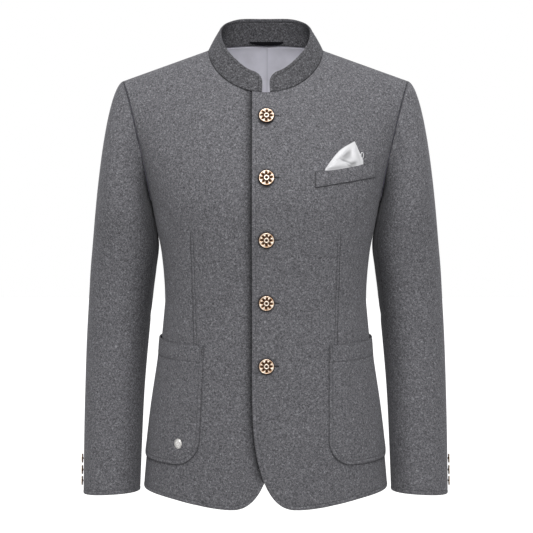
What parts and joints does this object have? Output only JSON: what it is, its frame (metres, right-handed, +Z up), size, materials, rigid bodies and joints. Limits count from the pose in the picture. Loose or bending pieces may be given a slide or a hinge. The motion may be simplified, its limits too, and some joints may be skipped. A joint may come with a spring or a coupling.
{
  "type": "mandarin collar blazer",
  "caption": "Fitted wool blazer with a stand collar, buttoned front, patch pockets, breast welt with pocket square and set-in sleeves, filled out as when worn.",
  "frame": {"origin": "middle of the neck opening, 3 mm above the points where the shoulder seams meet the collar", "axes": "+Z up, -Y towards the front, +X towards the wearer's left"},
  "size_m": [0.589, 0.2734, 0.7623],
  "materials": {
    "wool": "brushed wool melange, matte",
    "lining_satin": "satin",
    "square_satin": "satin",
    "loop_tape": "matte woven tape",
    "button_metal": "antique copper, worn",
    "stud_metal": "satin silver"
  },
  "bodies": {
    "root": {"front_left": "wool", "front_right": "wool", "back_left": "wool", "back_right": "wool", "collar": "wool", "sleeve_left_top": "wool", "sleeve_left_under": "wool", "sleeve_right_top": "wool", "sleeve_right_under": "wool", "pocket_left": "wool", "pocket_right": "wool", "breast_welt": "wool", "lining_back": "lining_satin", "pocket_square": "square_satin", "hanger_loop": "loop_tape", "front_button_1": "button_metal", "front_button_2": "button_metal", "front_button_3": "button_metal", "front_button_4": "button_metal", "front_button_5": "button_metal", "cuff_button_left_1": "button_metal", "cuff_button_left_2": "button_metal", "cuff_button_left_3": "button_metal", "cuff_button_right_1": "button_metal", "cuff_button_right_2": "button_metal", "cuff_button_right_3": "button_metal", "pocket_stud": "stud_metal"}
  },
  "joints": []
}
